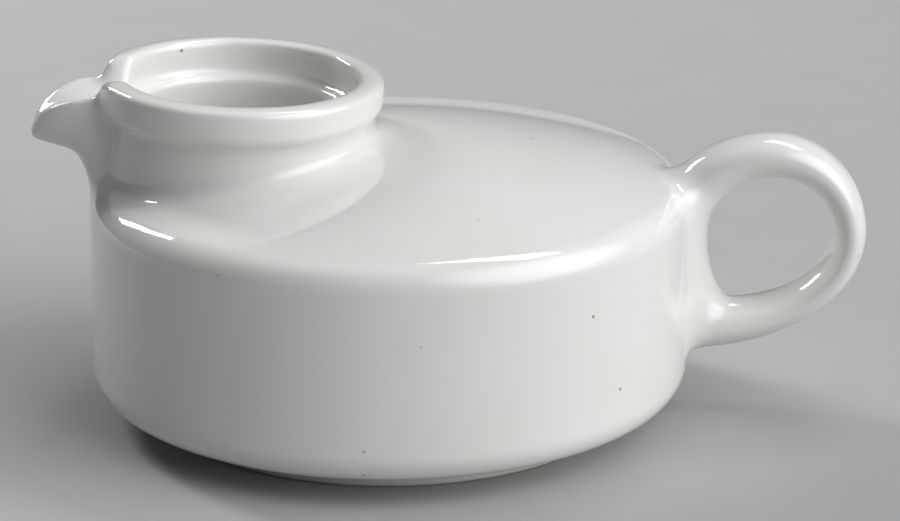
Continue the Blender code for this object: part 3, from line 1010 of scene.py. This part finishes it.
# %% [markdown]
# ## Studio
# The floor is a plain pale sheet with a faint tooth, as paper has. It could be a curved backdrop, but one
# large plane is enough for every view.

# %% Floor
start_clean()
bpy.ops.mesh.primitive_plane_add(size=6.0)
floor = bpy.context.object
floor.name = "studio_floor"
pale_sheet = bpy.data.materials.new("pale_sheet")
pale_sheet.use_nodes = True
tree = pale_sheet.node_tree
paper = node(tree, "ShaderNodeTexNoise", Scale=60.0, Detail=4.0)
place = node(tree, "ShaderNodeTexCoord")
tree.links.new(place.outputs["Object"], paper.inputs["Vector"])
shader = tree.nodes["Principled BSDF"]
tooth = mixed(tree, paper.outputs["Fac"], (0.42, 0.425, 0.42), (0.45, 0.45, 0.445))
tree.links.new(tooth, shader.inputs["Base Color"])
shader.inputs["Roughness"].default_value = 0.8
floor.data.materials.append(pale_sheet)
print("floor", floor.name, "with", pale_sheet.name)

# %% [markdown]
# Lights could stand anywhere that flatters a matt pot, but glaze mirrors them, so the streaks in the
# photograph tell where they stood. Two soft lights are behind the pot: a wide one high on the right, which
# draws the streaks on the shoulder's edge and in the cove, and a narrow upright one lower on the left,
# which gives the drum its light left edge.

# %% Lights
LAMP_DISTANCE = 1.1
LAMP_TARGET = Vector((0.0, 0.0, 0.035))


def aim(azimuth, height):
    """Unit vector towards a light. Azimuth is from +X towards +Y, and height is above the table."""
    turned = math.radians(azimuth)
    raised = math.radians(height)
    level = math.cos(raised)
    return Vector((math.cos(turned) * level, math.sin(turned) * level, math.sin(raised)))


def soft_light(name, azimuth, height, width, tall, watts):
    """A rectangular soft light that faces the drum."""
    away = aim(azimuth, height)
    lamp_data = bpy.data.lights.new(name, "AREA")
    lamp_data.shape = "RECTANGLE"
    lamp_data.size = width
    lamp_data.size_y = tall
    lamp_data.energy = watts
    lamp = bpy.data.objects.new(name, lamp_data)
    bpy.context.scene.collection.objects.link(lamp)
    lamp.location = LAMP_TARGET + away * LAMP_DISTANCE
    lamp.rotation_euler = (-away).to_track_quat("-Z", "Y").to_euler()


soft_light("back_light_right", 50.0, 63.0, 0.6, 0.2, 2.2)
soft_light("back_light_left", 136.0, 33.0, 0.16, 0.4, 4.5)

# %% [markdown]
# The light from the front right has no edges in the photograph's reflections, so it isn't a lamp but a
# glow in the air: the background brightens smoothly towards one direction. It makes the drum bright on
# its right and leaves it darkest left of its middle. A second, faint glow overhead lifts the shoulder.

# %% Glows
DIM_AIR = 0.005
world = bpy.data.worlds.new("studio_air")
world.use_nodes = True
tree = world.node_tree
air = tree.nodes["Background"]
air.inputs["Color"].default_value = (0.98, 0.99, 1.0, 1.0)
direction = node(tree, "ShaderNodeTexCoord")


def glow(azimuth, height, border, strength):
    """Strength of the air in every direction: full in one, and dim past a border, given as a cosine."""
    towards = node(tree, "ShaderNodeVectorMath")
    towards.operation = "DOT_PRODUCT"
    towards.inputs[1].default_value = aim(azimuth, height)
    tree.links.new(direction.outputs["Generated"], towards.inputs[0])
    level = ranged(tree, towards.outputs["Value"], border, 1.0, DIM_AIR, strength)
    level.node.interpolation_type = "SMOOTHSTEP"
    return level


both_glows = node(tree, "ShaderNodeMath")
both_glows.operation = "ADD"
tree.links.new(glow(-25.0, 32.0, 0.72, 3.7), both_glows.inputs[0])
tree.links.new(glow(-125.0, 84.0, 0.8, 0.6), both_glows.inputs[1])
tree.links.new(both_glows.outputs["Value"], air.inputs["Strength"])
bpy.context.scene.world = world
bpy.context.scene.view_settings.view_transform = "Standard"
print("air", world.name, "with", len(tree.nodes), "nodes")
